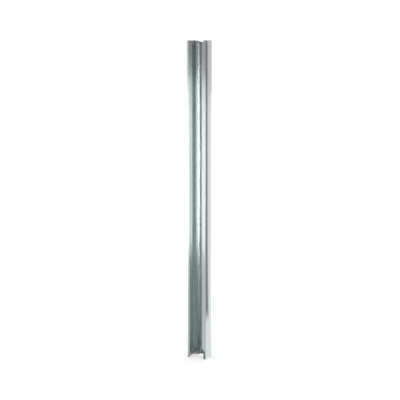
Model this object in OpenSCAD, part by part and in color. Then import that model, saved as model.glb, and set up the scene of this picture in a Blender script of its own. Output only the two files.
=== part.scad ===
// Lipped steel stud, cut from one roll-formed strip of galvanised sheet.
// Upright along Z. The web is parallel to X, at the back (+Y), and the channel opens towards -Y.
// The origin is at the middle of the foot.

/* [Stud] */
// Cut length of the stud
length = 1130; // [200:1:3000]
// Width over the outer faces of the two flanges
web_w = 75; // [50:0.5:150]
// Depth from the back of the web to the front of the lips
flange_w = 48; // [32:0.5:75]
// Width of each lip, from the outer face of its flange
lip_w = 9; // [7:0.1:14]

/* [Sheet] */
// Thickness of the galvanised sheet
sheet_t = 0.6; // [0.4:0.05:1.5]
// Inside radius of the bends between web and flanges
web_bend_r = 2.2; // [0.5:0.1:3]
// Inside radius of the bends between flanges and lips
lip_bend_r = 2.2; // [0.5:0.1:3]

/* [Centre line of the flanges] */
// Radius of the rolled groove along the middle of each flange
groove_r = 1.6; // [1:0.1:3]
// Depth of that groove, pressed in from the outer face
groove_d = 0.5; // [0.2:0.05:0.9]

/* [Ends] */
// Depth of the shallow dip that the cut leaves in the web at each end
dip_d = 2.2; // [0.5:0.1:4]
// Distance from a flange's outer face to where the dip starts
dip_start = 9; // [5:0.5:15]
// Depth of the notch in the middle of the dip
notch_d = 4.7; // [1:0.1:8]
// Width of the notch along its flat bottom
notch_w = 20; // [6:0.5:30]
// Width of the slope at each side of the notch
notch_slope_w = 8; // [1:0.5:10]

/* [Hidden] */
$fn = 96;
back_y = flange_w / 2;        // back of the web
front_y = -flange_w / 2;      // front of the lips
side_x = web_w / 2;           // outer face of the right flange
cut_past = 0.5;               // how far a cut runs past the sheet on each side

// Quarter ring of sheet, bent about the origin, in the quadrant where x and y are positive
module bend(inside_r) {
    outside_r = inside_r + sheet_t;
    intersection() {
        difference() {
            circle(r = outside_r);
            circle(r = inside_r);
        }
        square(outside_r);
    }
}

// Flat flange between its two bends, with the groove rolled along its middle
module flange_section() {
    groove_x = side_x + groove_r - groove_d;    // centre of the groove's arc
    from_y = front_y + lip_bend_r + sheet_t;
    to_y = back_y - web_bend_r - sheet_t;
    middle_y = (from_y + to_y) / 2;
    difference() {
        union() {
            translate([side_x - sheet_t, from_y])
                square([sheet_t, to_y - from_y]);
            intersection() {
                translate([groove_x, middle_y]) circle(r = groove_r + sheet_t);
                translate([side_x - sheet_t - groove_d, from_y])
                    square([sheet_t + groove_d, to_y - from_y]);
            }
        }
        translate([groove_x, middle_y]) circle(r = groove_r);
    }
}

// Right half of the section: half the web, its bend, the flange, the lip's bend and the lip
module half_section() {
    web_bend = web_bend_r + sheet_t;
    lip_bend = lip_bend_r + sheet_t;
    translate([0, back_y - sheet_t])
        square([side_x - web_bend, sheet_t]);
    translate([side_x - web_bend, back_y - web_bend])
        bend(web_bend_r);
    flange_section();
    translate([side_x - lip_bend, front_y + lip_bend])
        mirror([0, 1]) bend(lip_bend_r);
    translate([side_x - lip_w, front_y])
        square([lip_w - lip_bend, sheet_t]);
}

// Round cutter for the dip in the upper end: an arc through both its ends and its lowest point
module dip_cutter() {
    half_chord = side_x - dip_start;
    dip_r = (half_chord * half_chord + dip_d * dip_d) / (2 * dip_d);
    translate([0, back_y + cut_past, length - dip_d + dip_r])
        rotate([90, 0, 0])
            cylinder(r = dip_r, h = sheet_t + 2 * cut_past);
}

// Cutter for the notch in the upper end: a flat bottom between two slopes
module notch_cutter() {
    bottom = notch_w / 2;
    top = bottom + notch_slope_w;
    translate([0, back_y + cut_past, length])
        rotate([90, 0, 0])
            linear_extrude(sheet_t + 2 * cut_past)
                polygon([
                    [-top, cut_past], [-top, 0], [-bottom, -notch_d],
                    [bottom, -notch_d], [top, 0], [top, cut_past]
                ]);
}

// Everything that is cut from the web at the upper end
module end_cutter() {
    dip_cutter();
    notch_cutter();
}

module stud() {
    color("silver")
        difference() {
            linear_extrude(length) {
                half_section();
                mirror([1, 0]) half_section();
            }
            end_cutter();
            translate([0, 0, length])
                mirror([0, 0, 1]) end_cutter();
        }
}

stud();
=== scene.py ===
import math

import bmesh
import bpy
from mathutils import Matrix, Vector


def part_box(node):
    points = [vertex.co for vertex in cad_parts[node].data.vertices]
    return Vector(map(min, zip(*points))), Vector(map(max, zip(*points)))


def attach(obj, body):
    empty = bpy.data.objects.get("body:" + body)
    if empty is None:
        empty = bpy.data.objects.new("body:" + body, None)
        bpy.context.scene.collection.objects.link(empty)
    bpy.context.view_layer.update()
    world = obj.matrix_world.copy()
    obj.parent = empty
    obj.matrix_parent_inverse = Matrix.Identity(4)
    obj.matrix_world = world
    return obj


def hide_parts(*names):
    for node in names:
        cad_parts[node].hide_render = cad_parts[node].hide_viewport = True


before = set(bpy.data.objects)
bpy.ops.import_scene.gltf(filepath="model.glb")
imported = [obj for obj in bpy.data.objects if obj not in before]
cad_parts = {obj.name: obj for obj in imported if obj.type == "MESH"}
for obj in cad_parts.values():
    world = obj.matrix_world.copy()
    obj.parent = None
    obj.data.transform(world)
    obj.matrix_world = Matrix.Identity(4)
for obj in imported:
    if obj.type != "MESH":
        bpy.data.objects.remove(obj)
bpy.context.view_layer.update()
print("frame loaded")

# camera, at the height of the stud's head and looking a little down at its middle
camera = {
    "azimuth": 27.5,        # degrees round from the open side, towards +X
    "distance": 3.79,       # level distance from the stud's axis
    "height": 1.111,
    "aimHeight": 0.5714,
    "aimAside": 0.0016,     # how far right of the axis it aims
    "lens": 97.41,
}


def addCamera():
    turn = math.radians(camera["azimuth"])
    aside = Vector((math.cos(turn), math.sin(turn), 0)) * camera["aimAside"]
    data = bpy.data.cameras.new("camera")
    data.lens = camera["lens"]
    data.clip_start, data.clip_end = 0.05, 100
    obj = bpy.data.objects.new("camera", data)
    bpy.context.scene.collection.objects.link(obj)
    obj.location = (
        camera["distance"] * math.sin(turn),
        -camera["distance"] * math.cos(turn),
        camera["height"],
    )
    aim = Vector((0, 0, camera["aimHeight"])) + aside
    obj.rotation_mode = "QUATERNION"
    obj.rotation_quaternion = (aim - obj.location).to_track_quat("-Z", "Y")
    bpy.context.scene.camera = obj


addCamera()
print("camera set")


# small helpers for node trees
def newMaterial(name):
    mat = bpy.data.materials.new(name)
    mat.use_nodes = True
    tree = mat.node_tree
    tree.nodes.clear()
    return mat, tree


def node(tree, kind, **values):
    made = tree.nodes.new(kind)
    for key, value in values.items():
        setattr(made, key, value)
    return made


def mathNode(tree, operation, first, second=None, clamp=False):
    made = node(tree, "ShaderNodeMath", operation=operation, use_clamp=clamp)
    for socket, value in zip(made.inputs, (first, second)):
        if value is None:
            continue
        if isinstance(value, (int, float)):
            socket.default_value = value
        else:
            tree.links.new(value, socket)
    return made.outputs[0]


def mapRange(tree, value, fromMin, fromMax, toMin, toMax, smooth=False):
    made = node(tree, "ShaderNodeMapRange")
    if smooth:
        made.interpolation_type = "SMOOTHSTEP"
    tree.links.new(value, made.inputs["Value"])
    sockets = ("From Min", "From Max", "To Min", "To Max")
    for socket, number in zip(sockets, (fromMin, fromMax, toMin, toMax)):
        made.inputs[socket].default_value = number
    return made.outputs["Result"]


# a colour between two others
def mixColours(tree, factor, first, second):
    made = node(tree, "ShaderNodeMix", data_type="RGBA")
    tree.links.new(factor, made.inputs["Factor"])
    made.inputs[6].default_value = (*first, 1)
    made.inputs[7].default_value = (*second, 1)
    return made.outputs[2]


noiseSpan = (0.3, 0.7)      # most of a noise lies between these


# noise drawn out lengthwise; width and length in metres
def stretchedNoise(tree, coords, width, length, detail, seed):
    mapping = node(tree, "ShaderNodeMapping")
    mapping.inputs["Location"].default_value = (seed, seed * 0.7, seed * 1.3)
    mapping.inputs["Scale"].default_value = (1 / width, 1 / width, 1 / length)
    tree.links.new(coords, mapping.inputs["Vector"])
    noise = node(tree, "ShaderNodeTexNoise")
    noise.inputs["Scale"].default_value = 1
    noise.inputs["Detail"].default_value = detail
    tree.links.new(mapping.outputs[0], noise.inputs["Vector"])
    return noise.outputs["Fac"]


# an empty metal: its tree, its shader and the piece's own coordinates
def newMetal(name):
    mat, tree = newMaterial(name)
    out = node(tree, "ShaderNodeOutputMaterial")
    shader = node(tree, "ShaderNodeBsdfPrincipled")
    tree.links.new(shader.outputs[0], out.inputs["Surface"])
    shader.inputs["Metallic"].default_value = 1
    coords = node(tree, "ShaderNodeTexCoord").outputs["Object"]
    return mat, tree, shader, coords


# the zinc coat: size of its marks in metres, and how strongly each shows
zinc = {
    "dark": (0.76, 0.79, 0.79),
    "light": (0.90, 0.925, 0.925),
    "spangle": 0.0028,
    "spangleLength": 0.7,       # less than 1 draws the crystals out lengthwise
    "streakWidth": 0.0016,
    "streakLength": 0.22,
    "cloudWidth": 0.03,
    "cloudLength": 0.09,
    "tone": 0.25,               # the darkest mark, on the way from dark to light
    "spangleTone": 0.25,
    "streakTone": 0.35,
    "cloudTone": 0.25,
    "roughness": 0.12,
    "streakRough": 0.03,
    "spangleRough": 0.02,
    "cloudRough": (-0.02, 0.03),
    "bumpDistance": 0.00002,
    "bumpStrength": 0.25,
    "spangleBump": 0.15,
}


def zincCoat():
    mat, tree, shader, coords = newMetal("zincCoat")
    streaks = stretchedNoise(tree, coords, zinc["streakWidth"], zinc["streakLength"], detail=3, seed=3)
    clouds = stretchedNoise(tree, coords, zinc["cloudWidth"], zinc["cloudLength"], detail=2, seed=8)

    # crystals of the zinc, each a little lighter or darker than the next
    mapping = node(tree, "ShaderNodeMapping")
    mapping.inputs["Scale"].default_value = (1, 1, zinc["spangleLength"])
    tree.links.new(coords, mapping.inputs["Vector"])
    crystals = node(tree, "ShaderNodeTexVoronoi")
    crystals.inputs["Scale"].default_value = 1 / zinc["spangle"]
    tree.links.new(mapping.outputs[0], crystals.inputs["Vector"])
    grain = node(tree, "ShaderNodeSeparateColor")
    tree.links.new(crystals.outputs["Color"], grain.inputs[0])
    grain = grain.outputs[0]

    tone = mathNode(tree, "MULTIPLY_ADD", grain, zinc["spangleTone"])
    tone.node.inputs[2].default_value = zinc["tone"]
    tone = mathNode(tree, "ADD", tone, mathNode(tree, "MULTIPLY", streaks, zinc["streakTone"]))
    cloudTone = mathNode(tree, "MULTIPLY", clouds, zinc["cloudTone"])
    tone = mathNode(tree, "ADD", tone, cloudTone, clamp=True)
    tree.links.new(mixColours(tree, tone, zinc["dark"], zinc["light"]), shader.inputs["Base Color"])

    rough, streakRough, spangleRough = zinc["roughness"], zinc["streakRough"], zinc["spangleRough"]
    rough = mapRange(tree, streaks, *noiseSpan, rough - streakRough, rough + streakRough)
    rough = mathNode(tree, "ADD", rough, mapRange(tree, grain, 0, 1, -spangleRough, spangleRough))
    rough = mathNode(tree, "ADD", rough, mapRange(tree, clouds, *noiseSpan, *zinc["cloudRough"]))
    tree.links.new(rough, shader.inputs["Roughness"])

    bump = node(tree, "ShaderNodeBump")
    bump.inputs["Distance"].default_value = zinc["bumpDistance"]
    bump.inputs["Strength"].default_value = zinc["bumpStrength"]
    height = mathNode(tree, "ADD", streaks, mathNode(tree, "MULTIPLY", grain, zinc["spangleBump"]))
    tree.links.new(height, bump.inputs["Height"])
    tree.links.new(bump.outputs[0], shader.inputs["Normal"])
    return mat


# bare steel where the sheet was cut
steel = {
    "dark": (0.36, 0.37, 0.38),
    "light": (0.60, 0.61, 0.62),
    "grain": 0.0004,
    "roughness": (0.35, 0.5),
}


def cutEdge():
    mat, tree, shader, coords = newMetal("cutEdge")
    grain = stretchedNoise(tree, coords, steel["grain"], steel["grain"], detail=2, seed=1)
    tree.links.new(mixColours(tree, grain, steel["dark"], steel["light"]), shader.inputs["Base Color"])
    tree.links.new(mapRange(tree, grain, *noiseSpan, *steel["roughness"]), shader.inputs["Roughness"])
    return mat


# the roll-formed sheet; sizes in metres
sheet = {
    "thickness": 0.0006,
    "lip": 0.009,
    "bend": 0.0028,         # outside radius
    "bendSteps": 10,
    "grooveRadius": 0.0016,
    "grooveDepth": 0.0005,
    "grooveSteps": 10,
    "dipDepth": 0.0022,     # of the web's end, between its two corners
    "dipStart": 0.009,      # from the side of the stud
    "notchDepth": 0.0047,
    "notchWidth": 0.020,
    "notchSlope": 0.008,
    "webStep": 0.0025,      # grid of the flats
    "rowStep": 0.02,
    "bulge": 0.000635,      # how far a flange bulges out between web and lip
    "tilt": -0.00104,       # how far its front edge leans in
    "curl": 0.00084,        # and curls in towards the lip
    "curlReach": 0.575,     # share of the flange that curls
    "lipTurn": -2.55,       # degrees
    "webBow": 0.00006,
    "edgeBevel": 0.00008,
    "edgeSteps": 2,
    "rimAngle": 60,         # a sharper edge than this is a cut edge, in degrees
    "smoothAngle": 20,
    "nearly": 0.000001,     # points closer than this are one
    "onCut": 0.0000001,     # a point this near a cut lies on it
}
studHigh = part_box("stud")[1]
sideX, backY, headZ = studHigh.x, studHigh.y, studHigh.z


def cutAcross(bm, point, normal):
    bmesh.ops.bisect_plane(
        bm, geom=bm.verts[:] + bm.edges[:] + bm.faces[:], dist=sheet["onCut"],
        plane_co=point, plane_no=normal,
    )


# evenly spaced places between two ends
def steps(start, stop, step):
    count = max(1, round((stop - start) / step))
    return [start + (stop - start) * i / count for i in range(1, count)]


def isUpright(edge):
    a, b = edge.verts
    return abs(a.co.z - b.co.z) > 0.5 * headZ


# outer face of the sheet: the section's six corners drawn up to the head, then bent round
def rollProfile(bm):
    lipX = sideX - sheet["lip"]
    corners = [
        (-lipX, -backY), (-sideX, -backY), (-sideX, backY),
        (sideX, backY), (sideX, -backY), (lipX, -backY),
    ]
    verts = [bm.verts.new((x, y, 0)) for x, y in corners]
    edges = [bm.edges.new(pair) for pair in zip(verts, verts[1:])]
    made = bmesh.ops.extrude_edge_only(bm, edges=edges)["geom"]
    headVerts = [v for v in made if isinstance(v, bmesh.types.BMVert)]
    bmesh.ops.translate(bm, verts=headVerts, vec=(0, 0, headZ))
    bends = [e for e in bm.edges if isUpright(e) and len(e.link_faces) == 2]
    bmesh.ops.bevel(
        bm, geom=bends, offset=sheet["bend"], offset_type="OFFSET", segments=sheet["bendSteps"],
        profile=0.5, affect="EDGES", material=-1,
    )


# stiffening groove along the middle of each flange
def rollGroove(bm):
    radius, depth = sheet["grooveRadius"], sheet["grooveDepth"]
    half = math.sqrt(radius ** 2 - (radius - depth) ** 2)
    for i in range(sheet["grooveSteps"] + 1):
        cutAcross(bm, (0, -half + 2 * half * i / sheet["grooveSteps"], 0), (0, 1, 0))
    for v in bm.verts:
        if abs(v.co.y) < half:
            inward = math.sqrt(radius ** 2 - v.co.y ** 2) - (radius - depth)
            v.co.x -= math.copysign(inward, v.co.x)


# how far the flange leans in at a share of the way from the web to the lip
def leanIn(share):
    curl = max(0, share - 1 + sheet["curlReach"]) / sheet["curlReach"]
    bulge = 4 * share * (1 - share)
    return sheet["tilt"] * share - sheet["bulge"] * bulge + sheet["curl"] * curl ** 2


# how the sheet springs once it's out of the rolls, all of it inside the nominal box
def springBack(bm):
    bend, nearly = sheet["bend"], sheet["nearly"]
    flat = 2 * (backY - bend)
    widest = -min(leanIn(i / 100) for i in range(101))
    lipTurn = math.radians(sheet["lipTurn"])
    lipRise = max(0, -(sheet["lip"] - bend) * math.sin(lipTurn))
    for v in bm.verts:
        x, y, z = v.co
        share = min(1, max(0, (backY - bend - y) / flat))
        onLip = y < -backY + nearly and abs(x) < sideX - bend
        lean = leanIn(share) if abs(x) > sideX - bend - nearly or onLip else 0
        v.co.x = math.copysign((abs(x) - lean) * (1 - widest / sideX), x)
        v.co.y += lipRise * share
        if onLip:
            v.co.y += (sideX - bend - abs(x)) * math.sin(lipTurn)
        if y > backY - nearly:
            v.co.y -= sheet["webBow"] * (1 - (x / sideX) ** 2)


# how far the web's end is cut back at a distance from its middle
def endDrop(x):
    half = sideX - sheet["dipStart"]
    radius = (half ** 2 + sheet["dipDepth"] ** 2) / (2 * sheet["dipDepth"])
    dip = math.sqrt(radius ** 2 - min(abs(x), half) ** 2) - (radius - sheet["dipDepth"])
    slope = (sheet["notchWidth"] / 2 + sheet["notchSlope"] - abs(x)) / sheet["notchSlope"]
    return max(dip, sheet["notchDepth"] * min(1, slope))


def cutEnds(bm):
    for side in (-1, 1):
        for x in (sheet["notchWidth"] / 2, sideX - sheet["dipStart"]):
            cutAcross(bm, (side * x, 0, 0), (1, 0, 0))
    for v in bm.verts:
        if v.co.y > 0 and abs(v.co.x) < sideX - sheet["bend"]:
            if v.co.z > headZ - sheet["nearly"]:
                v.co.z = headZ - endDrop(v.co.x)
            elif v.co.z < sheet["nearly"]:
                v.co.z = endDrop(v.co.x)


def buildStud():
    bm = bmesh.new()
    rollProfile(bm)
    rollGroove(bm)
    webHalf, flangeHalf = sideX - sheet["bend"], backY - sheet["bend"]
    for x in steps(-webHalf, webHalf, sheet["webStep"]):
        cutAcross(bm, (x, 0, 0), (1, 0, 0))
    for y in steps(-flangeHalf, flangeHalf, sheet["webStep"]):
        cutAcross(bm, (0, y, 0), (0, 1, 0))
    for z in steps(0, headZ, sheet["rowStep"]):
        cutAcross(bm, (0, 0, z), (0, 0, 1))
    springBack(bm)
    cutEnds(bm)
    bmesh.ops.remove_doubles(bm, verts=bm.verts[:], dist=sheet["nearly"])
    bmesh.ops.recalc_face_normals(bm, faces=bm.faces[:])
    web = max(bm.faces, key=lambda f: f.calc_center_median().y)     # its outer face looks to the back
    if web.normal.y < 0:
        bmesh.ops.reverse_faces(bm, faces=bm.faces[:])
    mesh = bpy.data.meshes.new("stud_sheet")
    bm.to_mesh(mesh)
    bm.free()
    obj = bpy.data.objects.new("stud_sheet", mesh)
    bpy.context.scene.collection.objects.link(obj)
    wall = obj.modifiers.new("wall", "SOLIDIFY")
    wall.thickness = sheet["thickness"]
    wall.offset = -1
    wall.use_even_offset = True
    wall.material_offset_rim = 1
    return obj


# rounds the cut edges of the finished wall
def finishMesh(obj):
    graph = bpy.context.evaluated_depsgraph_get()
    mesh = bpy.data.meshes.new_from_object(obj.evaluated_get(graph))
    obj.modifiers.clear()
    obj.data = mesh
    bm = bmesh.new()
    bm.from_mesh(mesh)
    rimAngle = math.radians(sheet["rimAngle"])
    rims = [e for e in bm.edges if e.is_manifold and e.calc_face_angle() > rimAngle]
    bmesh.ops.bevel(
        bm, geom=rims, offset=sheet["edgeBevel"], offset_type="OFFSET", segments=sheet["edgeSteps"],
        profile=0.5, affect="EDGES", material=-1,
    )
    for v in bm.verts:      # at the groove's ends the bevel would swell past the side
        v.co.x = max(-sideX, min(sideX, v.co.x))
    for f in bm.faces:
        f.smooth = True
    bm.to_mesh(mesh)
    bm.free()
    mesh.set_sharp_from_angle(angle=math.radians(sheet["smoothAngle"]))
    print("stud sheet:", len(mesh.polygons), "faces")


stud = buildStud()
stud.data.materials.append(zincCoat())
stud.data.materials.append(cutEdge())
finishMesh(stud)
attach(stud, "root")
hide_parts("stud")

# the studio: brightness of what the coat mirrors of it, by azimuth round from the open side
studio = {
    "walls": (
        (-180, 0.64), (-125, 0.64), (-100, 0.28), (-80, 0.09), (95, 0.09), (106, 0.5),
        (132, 0.5), (137, 0.12), (145, 0.12), (149, 0.62), (180, 0.64),
    ),
    # the floor's stops are painted light and shade: a glow on the floor by azimuth, seen only in the
    # coat
    "floor": (
        (-180, 0.75), (-115, 0.75), (-85, 0.45), (-76, 0.5), (-55, 0.5), (-50, 0.85),
        (-40, 0.85), (-36, 0.42), (-18, 0.42), (-12, 0.5), (8, 0.5), (13, 0.12),
        (22, 0.12), (25, 0.18), (33, 0.18), (37, 0.07), (50, 0.07), (55, 0.5),
        (84, 0.5), (90, 0.32), (130, 0.32), (136, 0.11), (145, 0.11), (149, 0.76),
        (180, 0.78),
    ),
    "most": 2.0,                # brightness that the ramps' white stands for
    "cool": (0.86, 1.0, 1.0),   # the camera's side of the room; tints its lamps, its walls and the glow painted on its floor
    "coolSpan": (12, 50),
    "fill": 0.45,               # what lights a surface from all round
    "lampDistance": 2.0,
}


# tint of the room at an azimuth
def roomTint(azimuth):
    coolFrom, coolTo = studio["coolSpan"]
    return studio["cool"] if coolFrom <= azimuth <= coolTo else (1, 1, 1)


# level direction at an azimuth
def towards(azimuth):
    turn = math.radians(azimuth)
    return Vector((math.sin(turn), -math.cos(turn), 0))


# brightness by the azimuth of a direction
def ringLevel(tree, direction, stops):
    axes = node(tree, "ShaderNodeSeparateXYZ")
    tree.links.new(direction, axes.inputs[0])
    back = mathNode(tree, "MULTIPLY", axes.outputs["Y"], -1.0)
    turn = mathNode(tree, "ARCTAN2", axes.outputs["X"], back)
    share = mapRange(tree, turn, -math.pi, math.pi, 0, 1)
    ramp = node(tree, "ShaderNodeValToRGB")
    tree.links.new(share, ramp.inputs["Fac"])
    points = ramp.color_ramp.elements
    points[0].position, points[1].position = 0, 1
    for azimuth, level in stops[1:-1]:
        points.new((azimuth + 180) / 360)
    for point, (azimuth, level) in zip(points, stops):
        point.color = (*[level / studio["most"] * part for part in roomTint(azimuth)], 1)
    return ramp.outputs["Color"]


# flat lamps: height of the middle and size in metres, level is the brightness of the lit face
lamps = {
    "left": {"azimuth": -44, "height": 0.475, "size": (0.28, 0.95), "level": 4.4},
    "leftTop": {"azimuth": -44, "height": 1.15, "size": (0.28, 0.40), "level": 1.0},
    "card": {"azimuth": -27, "height": 0.475, "size": (0.78, 0.95), "level": 0.54},
    "cardTop": {"azimuth": -27, "height": 1.15, "size": (0.78, 0.40), "level": 0.26},
    "front": {"azimuth": -3, "height": 0.475, "size": (0.85, 0.95), "level": 0.25},
    "frontTop": {"azimuth": -3, "height": 1.15, "size": (0.85, 0.40), "level": 0.25},
    "slot": {"azimuth": 29, "height": 0.475, "size": (0.32, 0.95), "level": 1.15},
    "slotTop": {"azimuth": 29, "height": 1.15, "size": (0.32, 0.40), "level": 0.30},
    "right": {"azimuth": 63, "height": 0.60, "size": (0.70, 0.70), "level": 1.0},
    "rightTop": {"azimuth": 63, "height": 1.15, "size": (0.70, 0.40), "level": 0.6},
}


# rays that mirror or refract, as against those that only light a surface
def mirrorRays(tree, light):
    glossy, through = light.outputs["Is Glossy Ray"], light.outputs["Is Transmission Ray"]
    return mathNode(tree, "MAXIMUM", glossy, through)


# a colour scaled by a number, and the lighter of a colour and a grey
def scaled(tree, colour, number):
    made = node(tree, "ShaderNodeVectorMath", operation="SCALE")
    tree.links.new(colour, made.inputs[0])
    if isinstance(number, (int, float)):
        made.inputs["Scale"].default_value = number
    else:
        tree.links.new(number, made.inputs["Scale"])
    return made.outputs[0]


def lighter(tree, colour, grey):
    made = node(tree, "ShaderNodeVectorMath", operation="MAXIMUM")
    tree.links.new(colour, made.inputs[0])
    tree.links.new(grey, made.inputs[1])
    return made.outputs[0]


# the floor; reaches are in metres from the stud's axis
floorPaper = {
    "side": 40.0,
    "mirroredShadeColour": (0.15, 0.215, 0.215),      # painted darker, cooler shade, seen only where the coat mirrors the floor
    "seenColour": 0.95,             # where the camera sees it
    "nearGlow": 0.55,
    "farGlow": 1.0,
    "glowReach": (0.15, 0.9),
    "ringCentre": (-0.03, 0, 0),    # inside the left flange
    "mirrorReach": (0.03, 0.09),    # in the channel and close in front of it the floor's glow is dimmed: painted shadow
    "shadowed": 0.3,
    "besideGlow": 0.74,             # beside the right flange a painted pool of light brightens the floor's glow
    "besideReach": (0.5, 0.8),
}


# the floor that the coat mirrors: light and shade painted on its glow by azimuth, a painted shadow at
# the channel and a painted pool of light beside the right flange
def mirroredFloor(tree, place, reach, light):
    # painted shadow: the mirrored glow is dimmed in and close in front of the channel
    openFloor = mapRange(tree, reach, *floorPaper["mirrorReach"], floorPaper["shadowed"], 1, True)
    axes = node(tree, "ShaderNodeSeparateXYZ")
    tree.links.new(place, axes.inputs[0])
    beside = mathNode(tree, "GREATER_THAN", axes.outputs["X"], sideX)
    behindLips = mathNode(tree, "GREATER_THAN", axes.outputs["Y"], -backY)
    beside = mathNode(tree, "MULTIPLY", beside, behindLips)
    openFloor = mathNode(tree, "MAXIMUM", openFloor, beside)
    openFloor = mathNode(tree, "MULTIPLY", openFloor, studio["most"])
    # painted pool of light on the floor beside the right flange
    besideGlow = mapRange(tree, reach, *floorPaper["besideReach"], floorPaper["besideGlow"], 0, True)
    besideGlow = mathNode(tree, "MULTIPLY", besideGlow, beside)
    fromCentre = node(tree, "ShaderNodeVectorMath", operation="SUBTRACT")
    tree.links.new(place, fromCentre.inputs[0])
    fromCentre.inputs[1].default_value = floorPaper["ringCentre"]
    glow = scaled(tree, ringLevel(tree, fromCentre.outputs[0], studio["floor"]), openFloor)
    return scaled(tree, lighter(tree, glow, besideGlow), mirrorRays(tree, light))


def addFloor():
    bm = bmesh.new()
    bmesh.ops.create_grid(bm, x_segments=1, y_segments=1, size=floorPaper["side"] / 2)
    mesh = bpy.data.meshes.new("floor")
    bm.to_mesh(mesh)
    bm.free()
    obj = bpy.data.objects.new("floor", mesh)
    bpy.context.scene.collection.objects.link(obj)
    mat, tree = newMaterial("floorPaper")
    out = node(tree, "ShaderNodeOutputMaterial")
    diffuse = node(tree, "ShaderNodeBsdfDiffuse")
    glow = node(tree, "ShaderNodeEmission")
    glow.inputs["Strength"].default_value = 1
    light = node(tree, "ShaderNodeLightPath")
    place = node(tree, "ShaderNodeTexCoord").outputs["Object"]
    reach = node(tree, "ShaderNodeVectorMath", operation="LENGTH")
    tree.links.new(place, reach.inputs[0])
    reach = reach.outputs["Value"]

    seen = light.outputs["Is Camera Ray"]
    seenColour = [floorPaper["seenColour"]] * 3
    # the floor is painted a darker, cooler shade for the rays that the coat mirrors
    tree.links.new(mixColours(tree, seen, floorPaper["mirroredShadeColour"], seenColour), diffuse.inputs["Color"])
    nearGlow, farGlow = floorPaper["nearGlow"], floorPaper["farGlow"]
    cameraGlow = mapRange(tree, reach, *floorPaper["glowReach"], nearGlow, farGlow, True)
    total = node(tree, "ShaderNodeVectorMath", operation="ADD")
    tree.links.new(mirroredFloor(tree, place, reach, light), total.inputs[0])
    tree.links.new(mathNode(tree, "MULTIPLY", seen, cameraGlow), total.inputs[1])
    tree.links.new(total.outputs[0], glow.inputs["Color"])
    both = node(tree, "ShaderNodeAddShader")
    tree.links.new(diffuse.outputs[0], both.inputs[0])
    tree.links.new(glow.outputs[0], both.inputs[1])
    tree.links.new(both.outputs[0], out.inputs["Surface"])
    mesh.materials.append(mat)


addFloor()


def addWorld():
    world = bpy.data.worlds.new("studio")
    bpy.context.scene.world = world
    world.use_nodes = True
    tree = world.node_tree
    tree.nodes.clear()
    out = node(tree, "ShaderNodeOutputWorld")
    sky = node(tree, "ShaderNodeBackground")
    sky.inputs["Strength"].default_value = 1
    light = node(tree, "ShaderNodeLightPath")
    direction = node(tree, "ShaderNodeTexCoord").outputs["Generated"]
    mirrored = mirrorRays(tree, light)
    walls = scaled(tree, ringLevel(tree, direction, studio["walls"]), mirrored)
    walls = scaled(tree, walls, studio["most"])
    room = mapRange(tree, mirrored, 0, 1, studio["fill"], 0)
    room = mathNode(tree, "MAXIMUM", light.outputs["Is Camera Ray"], room)
    tree.links.new(lighter(tree, walls, room), sky.inputs["Color"])
    tree.links.new(sky.outputs[0], out.inputs["Surface"])


addWorld()


# each lamp hangs round the stud's axis and faces it squarely
def addLamp(name):
    lamp = lamps[name]
    width, tall = lamp["size"]
    data = bpy.data.lights.new(name, "AREA")
    data.shape = "RECTANGLE"
    data.size, data.size_y = width, tall
    data.energy = lamp["level"] * math.pi * width * tall
    data.color = roomTint(lamp["azimuth"])
    obj = bpy.data.objects.new(name, data)
    onAxis = Vector((0, 0, lamp["height"]))
    obj.location = towards(lamp["azimuth"]) * studio["lampDistance"] + onAxis
    obj.rotation_mode = "QUATERNION"
    obj.rotation_quaternion = (onAxis - obj.location).to_track_quat("-Z", "Y")
    obj.visible_camera = False
    bpy.context.scene.collection.objects.link(obj)


for name in lamps:
    addLamp(name)
print("studio lit")

bpy.context.scene.view_settings.view_transform = "Standard"
